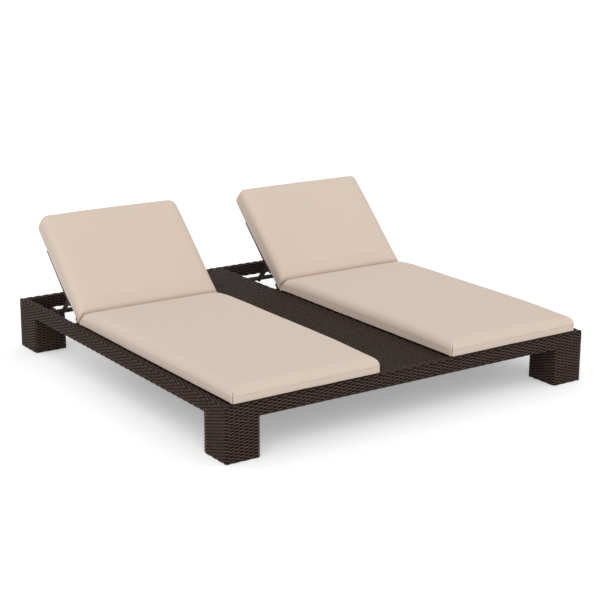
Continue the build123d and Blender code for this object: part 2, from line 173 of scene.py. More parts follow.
def mixed(tree, factor, first, second, blend="MIX"):
    """A colour mixed of two. 6, 7 and 2 are the places of a Mix node's colours."""
    return add_node(tree, "ShaderNodeMix", {"Factor": factor, 6: first, 7: second}, data_type="RGBA",
                    blend_type=blend)[2]


def new_group(name, inputs, outputs):
    """An empty shader node group with named sockets."""
    group = bpy.data.node_groups.new(name, "ShaderNodeTree")
    for label, kind, value in inputs:
        socket = group.interface.new_socket(label, in_out="INPUT", socket_type=kind)
        if value is not None:
            socket.default_value = value
    for label, kind in outputs:
        group.interface.new_socket(label, in_out="OUTPUT", socket_type=kind)
    return group, group.nodes.new("NodeGroupInput").outputs, group.nodes.new("NodeGroupOutput")


def mottled_group():
    group, given, made = new_group(
        "mottled_surface",
        [("Vector", "NodeSocketVector", None), ("Dark", "NodeSocketColor", (0, 0, 0, 1)),
         ("Light", "NodeSocketColor", (1, 1, 1, 1)), ("Scale", "NodeSocketFloat", 10.0),
         ("Grain Scale", "NodeSocketFloat", 900.0), ("Rough Low", "NodeSocketFloat", 0.4),
         ("Rough High", "NodeSocketFloat", 0.6)],
        [("Color", "NodeSocketColor"), ("Roughness", "NodeSocketFloat"), ("Height", "NodeSocketFloat")])
    clouds, grain = (
        add_node(group, "ShaderNodeTexNoise", {"Vector": given["Vector"], "Scale": given[scale]})["Fac"]
        for scale in ("Scale", "Grain Scale"))
    feed(group, made, {"Color": mixed(group, clouds, given["Dark"], given["Light"]), "Height": grain,
                       "Roughness": ranged(group, grain, given["Rough Low"], given["Rough High"])})
    return group


mottled = mottled_group()
print("group", mottled.name, "with", len(mottled.nodes), "nodes")

# %% [markdown]
# Three finishes on the frame use that group directly. The hidden and half-hidden bars are aluminium
# with a dark brown powder coat, which is slightly pebbled. Pins, screws and hinge plates are
# stainless steel, whose grain is stretched along X by a mapping node, as brushing leaves it.
# Bushes and glides are black nylon, almost without gloss.

# %% Metal and nylon materials
def new_material(name):
    """A new material, its node tree and its Principled shader."""
    material = bpy.data.materials.new(name)
    material.use_nodes = True
    return material, material.node_tree, material.node_tree.nodes["Principled BSDF"]


def mottled_outputs(tree, vector, dark, light, scale, grain, rough):
    """The outputs of the mottled group, placed in a material with its own values."""
    return add_node(tree, "ShaderNodeGroup", {
        "Vector": vector, "Dark": (*dark, 1), "Light": (*light, 1), "Scale": scale,
        "Grain Scale": grain, "Rough Low": rough[0], "Rough High": rough[1]}, node_tree=mottled)


def bumped(tree, height, strength, distance):
    """The normal that a height gives a surface."""
    return add_node(tree, "ShaderNodeBump", {"Height": height, "Strength": strength,
                                             "Distance": distance})["Normal"]


def surface_material(name, dark, light, scale, grain, rough, bump, metallic=0.0, stretch=(1, 1, 1),
                     specular=0.5):
    """A Principled material fed by the mottled group. rough: least and most. bump: its strength
    and its distance. stretch: how much finer the grain is each way."""
    material, tree, shader = new_material(name)
    place = add_node(tree, "ShaderNodeTexCoord")["Object"]
    place = add_node(tree, "ShaderNodeMapping", {"Vector": place, "Scale": stretch})["Vector"]
    effect = mottled_outputs(tree, place, dark, light, scale, grain, rough)
    feed(tree, shader, {"Base Color": effect["Color"], "Roughness": effect["Roughness"],
                        "Normal": bumped(tree, effect["Height"], *bump),
                        "Metallic": metallic, "Specular IOR Level": specular})
    return material


powder_coat = surface_material("brown_powder_coat", (0.010, 0.0065, 0.005), (0.021, 0.0135, 0.0115),
                               14.0, 1400.0, (0.42, 0.60), (0.25, 0.0004), specular=0.2)
stainless = surface_material("brushed_stainless", (0.42, 0.42, 0.43), (0.60, 0.60, 0.61),
                             30.0, 900.0, (0.22, 0.42), (0.2, 0.0002), 1.0, (0.06, 1, 1))
nylon = surface_material("black_nylon", (0.010, 0.010, 0.010), (0.022, 0.022, 0.021),
                         40.0, 700.0, (0.5, 0.68), (0.2, 0.0003))
print("finishes", powder_coat.name, stainless.name, nylon.name)

# %% [markdown]
# The strands are extruded resin in a dark espresso brown. Each one carries a vector attribute:
# how far along it a point lies, where it lies across, and a random number of its own. The
# material uses the first to stretch fine drawn lines along the strand, and the last to make
# neighbouring strands differ a little, which keeps a large woven face from looking printed.
# A second attribute says how deep in the weave a point sits. The colour falls off with it as
# painted shade, so that the small holes read from far away.

# %% Strand material
strand_stretch = (22.0, 3.2, 57.0)
own_darkest, own_lightest = 0.84, 1.16
light_left_in_depth = 0.02


def strand_material():
    material, tree, shader = new_material("espresso_strand")
    strand = add_node(tree, "ShaderNodeAttribute", attribute_name="strand")["Vector"]
    drawn = vector_result(tree, "MULTIPLY", {0: strand, 1: strand_stretch})
    effect = mottled_outputs(tree, drawn, (0.070, 0.0425, 0.0345), (0.132, 0.0880, 0.0730), 1.0, 4.0,
                             (0.42, 0.58))
    own = add_node(tree, "ShaderNodeSeparateXYZ", {"Vector": strand})["Z"]
    # painted shade: the colour falls off where the depth attribute is high
    depth = add_node(tree, "ShaderNodeAttribute", attribute_name="depth")["Fac"]
    lit = calculated(tree, "MULTIPLY", ranged(tree, own, own_darkest, own_lightest),
                     ranged(tree, depth, 1.0, light_left_in_depth))
    feed(tree, shader, {"Base Color": vector_result(tree, "SCALE", {0: effect["Color"], "Scale": lit}),
                        "Normal": bumped(tree, effect["Height"], 0.35, 0.0004),
                        "Roughness": effect["Roughness"], "Specular IOR Level": 0.09})
    return material


espresso = strand_material()
print("strand finish", espresso.name)

# %% [markdown]
# A woven face is a grid of places: rows run one way and stakes cross them. Each row is one long
# resin strand that passes over a stake, under the next, and so on, and the row beside it does the
# opposite. A picture of a weave on a flat box would be lighter, but its edges would be straight
# and its holes painted on. So every strand here is a real tube with a flattened six-sided
# section. It runs nearly level over one stake and dips steeply behind the next, because resin is
# stiff and the stakes are narrow. It is also widest where it comes to the front, where its
# neighbours are out of the way. The depth attribute, which darkens the colour as painted shade, is
# highest at the dips, on the stakes and on inner sides. Behind the weave lie flat strips side by
# side, coloured near black as painted shade, so that its holes are dark and not open. Each finished
# piece then gets its material and the body that it rides on, and the construction part that it
# stands for is hidden.

# %% Strands from a grid of places
ring_across_shares = np.array([-1.0, -0.62, 0.62, 1.0, 0.62, -0.62])
ring_out_shares = np.array([0.0, 0.84, 0.84, 0.0, -0.84, -0.84])
# painted shade: the depth values below darken the colour of row edges, inner sides, dips and stakes
edge_depth, inner_depth = 0.90, 1.0
ring_depths = np.array([edge_depth, 0, 0, edge_depth, inner_depth, inner_depth])
steps_per_stake = 5
spread_share = 0.13
dip_reach = 0.55
dip_darkness = 2.4
post_swing, post_depth = 0.35, 0.85
# the lining strips are a near-black sheet of painted shade behind the holes
lining_overlap, lining_thickness = 1.06, 0.0006
randoms = np.random.default_rng(7)


def tube_rings(points, across, outward, width, thickness):
    """Vertices of tubes: arrays of strand, place along it and corner of its section."""
    sideways = ring_across_shares[:, None] * (width * across)[:, :, None] / 2
    lifted = ring_out_shares[:, None] * (thickness * outward)[:, :, None] / 2
    return points[:, :, None] + sideways + lifted


def tube_faces(strands, places, corners, closed, first):
    """Faces of such tubes, with an end cap on each open one."""
    index = first + np.arange(strands * places * corners).reshape(strands, places, corners)
    after = np.roll(index, -1, axis=1) if closed else index[:, 1:]
    here = index if closed else index[:, :-1]
    quads = np.stack([here, np.roll(here, -1, axis=2), np.roll(after, -1, axis=2), after], axis=-1)
    faces = quads.reshape(-1, 4).tolist()
    if not closed:
        faces += index[:, 0].tolist() + index[:, -1, ::-1].tolist()
    return faces


def strand_values(points, corners):
    """The strand attribute: metres along, place across and a number of its own."""
    step = np.linalg.norm(np.diff(points, axis=1), axis=2)
    along = np.concatenate([np.zeros((len(points), 1)), np.cumsum(step, axis=1)], axis=1)
    own = randoms.random((len(points), 1, 1))
    values = np.broadcast_arrays(along[:, :, None], np.arange(corners), own)
    return np.stack(values, axis=-1).reshape(-1, 3)


def dress(piece, material, body, node):
    """Smooth shading and finish for a piece, its body and the part that it stands for."""
    piece.data.polygons.foreach_set("use_smooth", [True] * len(piece.data.polygons))
    piece.data.materials.clear()
    piece.data.materials.append(material)
    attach(piece, body)
    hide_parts(node)
    print(piece.name, len(piece.data.polygons), "faces")


class StrandSet:
    """Gathers tubes and makes one smooth mesh object of them. shade: depth added to all of them, a painted shade
    that darkens them all.
    """

    def __init__(self, shade=0.0):
        self.rings, self.faces, self.values, self.depths, self.count = [], [], [], [], 0
        self.shade = shade

    def add(self, points, across, outward, width, thickness, depth, closed=False):
        rings = tube_rings(points, across, outward, width, thickness)
        strands, places, corners = rings.shape[:3]
        self.faces += tube_faces(strands, places, corners, closed, self.count)
        self.rings.append(rings.reshape(-1, 3))
        self.values.append(strand_values(points, corners))
        self.depths.append(np.minimum(depth[:, :, None] + ring_depths + self.shade, 1).ravel())
        self.count += strands * places * corners

    def build(self, name, body, node):
        mesh = bpy.data.meshes.new(name)
        mesh.from_pydata(np.concatenate(self.rings).tolist(), [], self.faces)
        for label, kind, key, values in (("strand", "FLOAT_VECTOR", "vector", self.values),
                                         ("depth", "FLOAT", "value", self.depths)):
            attribute = mesh.attributes.new(label, kind, "POINT")
            attribute.data.foreach_set(key, np.concatenate(values).ravel())
        dress(new_piece(name, mesh), espresso, body, node)


def waves(rows, places):
    """For each place a cosine, plus one over a stake and minus one under it, and the share of a dip."""
    row = np.arange(rows)[:, None]
    stake = np.arange(places)[None, :] / steps_per_stake
    from_dip = np.abs((row + stake) % 2 - 1)
    dip = np.cos(np.clip(from_dip / dip_reach, 0, 1) * math.pi / 2) ** 2
    return np.cos(np.pi * (row + stake)), dip


def everywhere(grid, direction):
    """An array like the grid that holds one direction at every place."""
    return np.zeros_like(grid) + np.array(direction, float)


def unit(vectors):
    return vectors / np.linalg.norm(vectors, axis=-1, keepdims=True)


def weave(strands, grid, outward, across, sizes, closed_rows=False, closed_stakes=False, lined=True):
    """Adds the rows, stakes and lining of one woven face. sizes: row width, row thickness, stake
    width, stake thickness, all in metres."""
    row_width, row_thickness, stake_width, stake_thickness = sizes
    swing = (row_thickness + stake_thickness) / 2
    wave, dip = waves(*grid.shape[:2])
    widths = row_width * (1 + spread_share * wave[:, :, None])
    lift = swing * (1 - 2 * dip)[:, :, None]
    strands.add(grid + lift * outward, across * widths, outward, 1.0, row_thickness,
                np.minimum(dip_darkness * dip, 1), closed_rows)
    columns = slice(0, None, steps_per_stake)
    along = np.roll(grid, -1, axis=1) - grid
    along[:, -1] = along[:, -2]
    posts = grid - post_swing * swing * (wave[:, :, None] * outward)
    hidden = np.where(wave > 0, 1.0, post_depth)
    posts, sideways, facing, hidden = (np.swapaxes(values[:, columns], 0, 1)
                                       for values in (posts, unit(along), outward, hidden))
    strands.add(posts, sideways, facing, stake_width, stake_thickness, hidden, closed_stakes)
    if lined:
        # painted shade: the lining gets full depth, so it renders near black
        pitch = np.median(np.linalg.norm(np.diff(grid[:, 0], axis=0), axis=1))
        behind = swing + row_thickness / 2 + lining_thickness
        lining = grid[:, columns] - behind * outward[:, columns]
        strands.add(lining, across[:, columns], outward[:, columns], lining_overlap * pitch,
                    lining_thickness, np.ones(lining.shape[:2]), closed_rows)


print("a strand has", len(ring_across_shares), "corners and", steps_per_stake, "steps per stake")

# %% [markdown]
# The four rails are boxes of 34 by 64 mm wrapped in strands that run along them. Seen from the
# end, the rows stand at equal steps round a rectangle with rounded upper edges, 26 of them, so
# that over and under still alternate where the ring closes. Where two rails meet, their rows are
# cut on a mitre, and a stake stands exactly on it. The rows turn with the corner, and the last
# few stakes fan out, as a weaver would spread them there. On the outside the strands stand a
# little proud of the plain block, because a real weave bulges over its stakes. On top they are
# sunk into it, most of all on the head rail, so that a lowered backrest clears them.

# %% Woven rails
rail_sizes = (0.0052, 0.0023, 0.0072, 0.0015)
rail_rows = 26
row_pitch = 0.0072  # between the rows of other faces of the same weave
stake_gap = 0.0238
sink = 0.0028
proud = 0.0008
top_sink, head_top_sink = (0.0014, 1), (0.0036, 6)  # how deep, and how suddenly from the outside
corner_radius = 0.006
fan_length = 0.13
upper_radius, lower_radius = 0.005, 0.0015
arc_places = 9  # on each rounded corner


def quarter_turn(places):
    return np.linspace(0, math.pi / 2, places)


def rectangle(x0, y0, x1, y1):
    """Its four corners, one after the other."""
    return [np.array(corner) for corner in ((x0, y0), (x0, y1), (x1, y1), (x1, y0))]


def rounded_ring(corners, radii):
    """A fine closed line round the given corners, and its outward normals."""
    points, normals = [], []
    for i, (corner, radius) in enumerate(zip(corners, radii)):
        before = unit(np.subtract(corners[i - 1], corner))
        after = unit(np.subtract(corners[(i + 1) % len(corners)], corner))
        centre = corner + radius * (before + after)
        for turn in quarter_turn(arc_places):
            normal = -after * math.cos(turn) - before * math.sin(turn)
            points.append(centre + radius * normal)
            normals.append(normal)
    return np.array(points), np.array(normals)


def spaced_on_ring(points, normals, count, start_share=0.5):
    """Places and normals at equal steps round a closed line."""
    points, normals = np.vstack([points, points[:1]]), np.vstack([normals, normals[:1]])
    run = np.concatenate([[0], np.cumsum(np.linalg.norm(np.diff(points, axis=0), axis=1))])
    want = (np.arange(count) + start_share) / count * run[-1] % run[-1]
    place, normal = (np.stack([np.interp(want, run, line[:, i]) for i in range(2)], axis=1)
                     for line in (points, normals))
    return place, unit(normal)


def even_count(length, gap):
    """An even number of gaps of about that size."""
    return 2 * round(length / gap / 2)


def rail_places(inset, half, facing, stakes):
    """Along, outward share and side share of every place of a row at that inset."""
    straight = half - corner_radius
    reach = straight + corner_radius * math.pi / 4
    s = np.linspace(-reach, reach, steps_per_stake * stakes + 1)
    sign, a = np.sign(s), np.abs(s)
    if inset < corner_radius:
        turn = np.clip((a - straight) / corner_radius, 0, None)
        along = np.minimum(a, straight) + (corner_radius - inset) * np.sin(turn)
        outward = facing - corner_radius + (corner_radius - inset) * np.cos(turn)
        return sign * along, outward, np.cos(turn), sign * np.sin(turn)
    start = half - fan_length
    along = np.where(a > start, start + (a - start) * (half - inset - start) / (reach - start), a)
    at_end = (a > reach - 1e-9).astype(float)
    return sign * along, np.full_like(a, facing - inset), np.ones_like(a), sign * at_end


def woven_rail(where, out, half, facing):
    """A rail that runs across the direction out, from mitre to mitre."""
    out = np.array(out, float)
    run = np.array([abs(out[1]), abs(out[0]), 0.0])
    lift = np.array([0.0, 0.0, 1.0])
    ring = rounded_ring(rectangle(0, rail_low, rail_width, rail_top),
                        [lower_radius, upper_radius, upper_radius, lower_radius])
    section, normals = spaced_on_ring(*ring, rail_rows)
    deep, edge_power = head_top_sink if where == "head" else top_sink
    outer = np.clip(-normals[:, :1], 0, 1) ** edge_power
    section = section + (outer * proud - (1 - outer) * deep) * normals
    stakes = even_count(2 * half, stake_gap)
    grid, outward, across = [], [], []
    for (inset, z), (n_in, n_up) in zip(section, normals):
        along, reach, keep, turn = rail_places(inset, half, facing, stakes)
        facing_out = keep[:, None] * out + turn[:, None] * run
        grid.append(reach[:, None] * out + along[:, None] * run + z * lift)
        outward.append(-n_in * facing_out + n_up * lift)
        across.append(n_up * facing_out + n_in * lift)
    strands = StrandSet()
    weave(strands, np.array(grid), np.array(outward), np.array(across), rail_sizes, closed_stakes=True)
    strands.build(f"{where}_rail_strands", "frame", f"{where}_rail_weave")


for name, sign in SIDES.items():
    woven_rail(name, (sign, 0, 0), half_length, half_width)
for name, sign in ENDS.items():
    woven_rail(name, (0, sign, 0), half_width, half_length)

# %% [markdown]
# Each leg is a block wrapped in rows that run right round it, as close as those of the rails.
# The rows are closed rings, so the number of stakes is even. The head legs show their tops in
# the open wells, so a small flat patch of the same weave closes the top of each leg.

# %% Woven legs
leg_rows = 26
leg_hem = 0.001


def leg_ring(side, end):
    """Places and normals round a leg, seen from above."""
    (x0, y0, _), (x1, y1, _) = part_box(f"{end}_{side}_leg_weave")
    corners = rectangle(x0, y0, x1, y1)
    outermost = int(np.argmax([np.abs(c).sum() for c in corners]))
    corners = corners[outermost:] + corners[:outermost]
    stakes = even_count(2 * (x1 - x0 + y1 - y0), stake_gap)
    ring = rounded_ring(corners, [corner_radius] * len(corners))
    half_arc = corner_radius * math.pi / 4
    return spaced_on_ring(*ring, steps_per_stake * stakes, half_arc / stake_gap * steps_per_stake)


def woven_leg(side, end):
    place, normal = leg_ring(side, end)
    place = place + proud * normal
    heights = leg_hem + (leg_top - leg_hem) * (np.arange(leg_rows) + 0.5) / leg_rows
    grid = np.array([[(x, y, z) for x, y in place] for z in heights])
    outward = np.array([[(x, y, 0.0) for x, y in normal]] * leg_rows)
    strands = StrandSet()
    weave(strands, grid, outward, everywhere(grid, (0, 0, 1)), rail_sizes, closed_rows=True)
    node = f"{end}_{side}_leg_weave"
    add_flat_weave(strands, *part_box(node), leg_top, rail_sizes, along_y=True)
    strands.build(f"{end}_{side}_leg_strands", "frame", node)


def flat_grid(low_corner, high_corner, z, pitch, gap, along_y):
    """A level grid of places, its rows running along Y or along X."""
    (x0, y0), (x1, y1) = low_corner[:2], high_corner[:2]
    cross, run = ((x0, x1), (y0, y1)) if along_y else ((y0, y1), (x0, x1))
    rows = round((cross[1] - cross[0]) / pitch)
    stakes = even_count(run[1] - run[0], gap)
    across_places = cross[0] + (cross[1] - cross[0]) * (np.arange(rows) + 0.5) / rows
    run_places = np.linspace(run[0], run[1], steps_per_stake * stakes + 1)
    first, second = np.meshgrid(across_places, run_places, indexing="ij")
    level = np.full_like(first, z)
    return np.stack([first, second, level] if along_y else [second, first, level], axis=-1)


def add_flat_weave(strands, low_corner, high_corner, z, sizes, along_y, gap=stake_gap,
                   pitch=row_pitch, depth=sink):
    """A level woven face whose highest bumps reach z, its middle a depth below."""
    grid = flat_grid(low_corner, high_corner, z - depth, pitch, gap, along_y)
    across = (1, 0, 0) if along_y else (0, 1, 0)
    weave(strands, grid, everywhere(grid, (0, 0, 1)), everywhere(grid, across), sizes)


for end in ENDS:
    for side in SIDES:
        woven_leg(side, end)

# %% [markdown]
# The table between the seats is woven the long way: its strands run from foot to head, a little
# further apart than on the rails and straighter, because its stakes stand 32 mm apart. One more
# strand runs along each of its long edges and closes the corner to its sides. The two sides are
# strips with rows along them, seen from the open wells.

# %% Woven table
table_pitch = 0.0088
table_stake_gap = 0.032
table_sizes = (0.0047, 0.0024, 0.0062, 0.0015)
edge_sizes, edge_places = (0.0070, 0.0016), 61
# painted shade: edge_shade darkens the strand along each long edge of the table
edge_drop, edge_shade = 0.0055, 0.5
strip_rows = 8

table_strands = StrandSet()
add_flat_weave(table_strands, *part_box("table_top_weave"), rail_top, table_sizes, along_y=True,
               gap=table_stake_gap, pitch=table_pitch)
ys = np.linspace(-table_reach, table_reach, edge_places)
for sign in SIDES.values():
    edge = np.stack([np.full_like(ys, sign * (table_half - edge_sizes[1])), ys,
                     np.full_like(ys, rail_top - edge_drop)], axis=1)[None]
    table_strands.add(edge, everywhere(edge, (0, 0, 1)), everywhere(edge, (sign, 0, 0)), *edge_sizes,
                      np.full(edge.shape[:2], edge_shade))
table_strands.build("table_top_strands", "frame", "table_top_weave")

side_strands = StrandSet()
strip_low, strip_top = low("table_side_weaves", 2), high("table_side_weaves", 2)
strip_places = np.linspace(-table_reach, table_reach,
                           steps_per_stake * even_count(2 * table_reach, stake_gap) + 1)
for sign in SIDES.values():
    z = strip_low + (strip_top - strip_low) * (np.arange(strip_rows) + 0.5) / strip_rows
    zs, ys = np.meshgrid(z, strip_places, indexing="ij")
    grid = np.stack([np.full_like(ys, sign * (table_half - sink)), ys, zs], axis=-1)
    weave(side_strands, grid, everywhere(grid, (sign, 0, 0)), everywhere(grid, (0, 0, 1)), rail_sizes)
side_strands.build("table_side_strands", "frame", "table_side_weaves")

# %% [markdown]
# Under each seat cushion lies a deck of wide flat straps. It shows from below and as a dark line
# under the cushion's edge, so it is plain and darkened all over with painted shade, but it is still
# woven. Behind each back cushion is a panel of the same fine weave as the rails, which shows from
# behind, and a strand is wound round each side tube of the backrest, from above its hinge up to the
# hood, darkened with painted shade. Both are drawn flat from the hinge axis and then turned to the
# slope of the backrest.

# %% Decks and back panels
deck_sizes = (0.0285, 0.0038, 0.012, 0.0028)
deck_inset = 0.003
deck_sink = 0.0053
deck_pitch = 0.0262
# painted shade: deck_shade darkens all the deck straps
deck_shade = 0.7
panel_sizes = (0.0080, 0.0014, 0.0080, 0.0010)
hem_gap = 0.002
binding_pitch, binding_width, binding_thickness = 0.0072, 0.0074, 0.0018
# painted shade: binding_shade darkens the strand round each side tube
binding_start, binding_shade = 0.10, 0.45
binding_in, binding_out, binding_down = 0.016, 0.0160, 0.0095
binding_radius, binding_places = 0.004, 20


def tilt(side):
    """The turn that brings a thing drawn from the hinge axis to its place at rest."""
    return Matrix.Translation(hinge[f"{side}_back_hinge"]) @ Matrix.Rotation(rest_angle, 4, "X")


def flat_box(node, side):
    """A backrest part's box in the backrest's own frame, where it lies flat."""
    back = tilt(side).inverted()
    corners = np.array([back @ v.co for v in frame["nodes"][node].data.vertices])
    return corners.min(axis=0), corners.max(axis=0)


def tilted(side, points, *directions):
    """Points and directions brought from the flat backrest to its place at rest."""
    place = tilt(side)
    turn = np.array(place.to_3x3()).T
    return [points @ turn + np.array(place.translation)] + [d @ turn for d in directions]


def add_binding(strands, side, sign):
    """Turns of strand round a side tube of the backrest, from above its hinge up to the hood."""
    half = flat_box(f"{side}_back_side_tubes", side)[1][0]
    lowest, highest = flat_box(f"{side}_back_weave", side)
    edge = binding_thickness / 2
    x0, x1 = half - binding_in, half + binding_out - edge
    z0, z1 = lowest[2] - binding_down + edge, highest[2] - edge
    fine_ring = rounded_ring(rectangle(x0, z0, x1, z1), [binding_radius] * 4)
    ring, normals = spaced_on_ring(*fine_ring, binding_places)
    end = flat_box(f"{side}_back_hood", side)[0][1]
    ys = np.arange(binding_start, end, binding_pitch)
    points = np.array([[(sign * x, y, z) for x, z in ring] for y in ys])
    outward = np.array([[(sign * x, 0.0, z) for x, z in normals]] * len(ys))
    strands.add(*tilted(side, points, everywhere(points, (0, 1, 0)), outward), binding_width,
                binding_thickness, np.full(points.shape[:2], binding_shade), True)


for side in SIDES:
    strands = StrandSet(deck_shade)
    node = f"{side}_seat_deck"
    inset = Vector((deck_inset, 0, 0))
    low_corner, high_corner = (Vector(corner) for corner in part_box(node))
    add_flat_weave(strands, low_corner + inset, high_corner - inset, high_corner.z, deck_sizes,
                   along_y=False, gap=deck_pitch, pitch=deck_pitch, depth=deck_sink)
    strands.build(f"{side}_deck_straps", "frame", node)

    node = f"{side}_back_weave"
    lowest, highest = flat_box(node, side)
    middle = (lowest[2] + highest[2]) / 2
    grid = flat_grid(lowest + hem_gap, highest - hem_gap, middle, row_pitch, stake_gap, False)
    strands = StrandSet()
    weave(strands, *tilted(side, grid, everywhere(grid, (0, 0, 1)), everywhere(grid, (0, 1, 0))),
          panel_sizes, lined=False)
    for sign in SIDES.values():
        add_binding(strands, side, sign)
    strands.build(f"{side}_back_panel", f"{side}_back", node)

# %% [markdown]
# The cushions are covered in a fine canvas, sand beige, of threads about half a millimetre thick.
# A second node group draws the plain weave from two sines across each other, at a thread pitch in
# metres, so that it has its real scale on every cushion. The colour change over a whole cushion
# comes from the mottled group. Seams are darker, because light doesn't reach into them, and the
# seam value on the mesh says where they are.

# %% Canvas material
def weave_group():
    group, given, made = new_group(
        "plain_weave", [("Vector", "NodeSocketVector", None),
                        ("Thread Pitch", "NodeSocketFloat", 0.001)], [("Height", "NodeSocketFloat")])
    turns = calculated(group, "DIVIDE", math.pi, given["Thread Pitch"])
    turned = vector_result(group, "SCALE", {0: given["Vector"], "Scale": turns})
    bands = vector_result(group, "SINE", {0: turned})
    parts = add_node(group, "ShaderNodeSeparateXYZ", {"Vector": bands})
    feed(group, made, {"Height": calculated(group, "MULTIPLY", parts["X"], parts["Y"])})
    return group


plain_weave = weave_group()
thread_pitch = 0.0006
seam_shade = (0.16, 0.12, 0.10, 1)


def canvas_material():
    material, tree, shader = new_material("sand_canvas")
    cloth = add_node(tree, "ShaderNodeUVMap", uv_map="cloth")["UV"]
    threads = add_node(tree, "ShaderNodeGroup", {"Vector": cloth, "Thread Pitch": thread_pitch},
                       node_tree=plain_weave)["Height"]
    effect = mottled_outputs(tree, cloth, (0.655, 0.530, 0.440), (0.715, 0.590, 0.498), 260.0, 1500.0,
                             (0.82, 0.94))
    seam = add_node(tree, "ShaderNodeAttribute", attribute_name="seam")["Fac"]
    height = calculated(tree, "ADD", threads, effect["Height"])
    feed(tree, shader, {"Base Color": mixed(tree, seam, effect["Color"], seam_shade, "MULTIPLY"),
                        "Roughness": effect["Roughness"], "Normal": bumped(tree, height, 0.25, 0.0002),
                        "Sheen Weight": 0.12, "Sheen Roughness": 0.5, "Specular IOR Level": 0.3})
    return material


canvas = canvas_material()
print("canvas threads every", thread_pitch * 1000, "mm")

# %% [markdown]
# A cushion is a foam slab in a sewn cover. Its lower edge is a tight seam and nearly square. Above
# the side seam the cover curves over into the top in one soft shoulder. A cube with a bevel would
# keep flat faces between straight edges, so the slab is drawn as a shell of small squares whose
# lines stand closer near the rim. Each corner square of its section, and of its outline from
# above, is pulled in until its border is a quarter circle.

# %% The shell of a cushion
rim_offsets = np.array([0.0, 0.0008, 0.002, 0.0065, 0.012, 0.018, 0.025, 0.033, 0.042])
shell_step = 0.0145
low_edge = 0.002
side_levels = (0.0, 0.0008, 0.002, 0.013, 0.022)
shoulder_steps = 6


def graded(half):
    """Places from -half to half, close together near both ends."""
    inner = half - rim_offsets[-1]
    level = np.linspace(-inner, inner, round(2 * inner / shell_step) + 1)
    return np.concatenate([rim_offsets - half, level[1:-1], (half - rim_offsets)[::-1]])


def box_shell(xs, ys, zs):
    """Points and faces of a box whose grid lines stand at the given places."""
    shape = (len(xs), len(ys), len(zs))
    i, j, k = np.indices(shape)
    outside = np.zeros(shape, bool)
    for index, count in zip((i, j, k), shape):
        outside |= (index == 0) | (index == count - 1)
    number = np.full(shape, -1)
    number[outside] = np.arange(outside.sum())
    points = np.stack([xs[i[outside]], ys[j[outside]], zs[k[outside]]], axis=1)
    faces = []
    for axis in range(3):
        for end in (0, -1):
            side = np.take(number, end, axis=axis)
            quads = np.stack([side[:-1, :-1], side[1:, :-1], side[1:, 1:], side[:-1, 1:]], axis=-1)
            quads = quads.reshape(-1, 4)
            faces += (quads[:, ::-1] if (end == 0) != (axis == 1) else quads).tolist()
    return points, faces


def rounded(p, q):
    """Shares of a corner square, pulled in so that its border becomes a quarter circle."""
    away = np.hypot(p, q)
    pull = np.where(away > 0, np.maximum(p, q) / np.maximum(away, 1e-9), 1)
    return p * pull, q * pull


def rim_share(values, half, reach):
    """Nought inside, rising to one over the last stretch before half."""
    return np.clip((np.abs(values) - half + reach) / reach, 0, 1)


def at_share(values, half, reach, share):
    """Values in the rim brought to a new share of it."""
    start = half - reach
    return np.where(np.abs(values) > start, np.sign(values) * (start + reach * share), values)


def cushion_shell(half_x, half_y, height, shoulder, corner_radii):
    """A slab about the origin, its underside level with it. shoulder: how far in and how high.
    corner_radii: seen from above, at its low and at its high end."""
    rise = shoulder[1]
    levels = [z for z in side_levels if z < height - rise - low_edge]
    zs = np.concatenate([levels, np.linspace(height - rise, height, shoulder_steps)])
    points, faces = box_shell(graded(half_x), graded(half_y), zs)
    x, y, z = points.T
    for reach, rise, border, up in ((shoulder[0], rise, height, 1), (low_edge, low_edge, 0.0, -1)):
        share = np.clip((rise - np.abs(border - z)) / rise, 0, 1)
        u, v = rim_share(x, half_x, reach), rim_share(y, half_y, reach)
        across = np.maximum(u, v)
        new_across, new_share = rounded(across, share)
        pull = new_across / np.maximum(across, 1e-9)
        x, y = at_share(x, half_x, reach, u * pull), at_share(y, half_y, reach, v * pull)
        z = np.where(share > 0, border - up * rise * (1 - new_share), z)
    radius = np.where(y < 0, *corner_radii)
    p, q = rim_share(x, half_x, radius), rim_share(y, half_y, radius)
    new_p, new_q = rounded(p, q)
    x, y = at_share(x, half_x, radius, new_p), at_share(y, half_y, radius, new_q)
    return np.stack([x, y, z], axis=1), faces


print("a cushion's squares are about", 1000 * shell_step, "mm wide")

# %% [markdown]
# Foam and cover push against each other, so a real cushion swells most where nothing holds it.
# The shell is blown up as cloth under pressure, without gravity. Free cloth would swell to a
# balloon, but foam holds it back, so its movement levels off at a few millimetres sideways and
# more upwards. That draws the sides in between the corners and crowns the top. What rests on the
# deck stays flat. Each cushion is worked on lying flat and then brought to its place.

# %% Blow up a cushion
pressure = 4.0
cloth_frames, cloth_quality = 20, 4
foam_softness = 0.03


def values_of(items, key, kind=float, width=1):
    """One value of every vertex, face or corner of a mesh."""
    values = np.empty(len(items) * width, kind)
    items.foreach_get(key, values)
    return values.reshape(-1, width) if width > 1 else values


def mesh_points(mesh):
    return values_of(mesh.vertices, "co", width=3)


def set_points(mesh, points):
    mesh.vertices.foreach_set("co", points.ravel())
    mesh.update()


def with_modifiers(piece):
    """The mesh that the piece's modifiers make of it."""
    graph = bpy.context.evaluated_depsgraph_get()
    return bpy.data.meshes.new_from_object(piece.evaluated_get(graph))


def apply_modifiers(piece):
    made = with_modifiers(piece)
    piece.modifiers.clear()
    piece.data = made


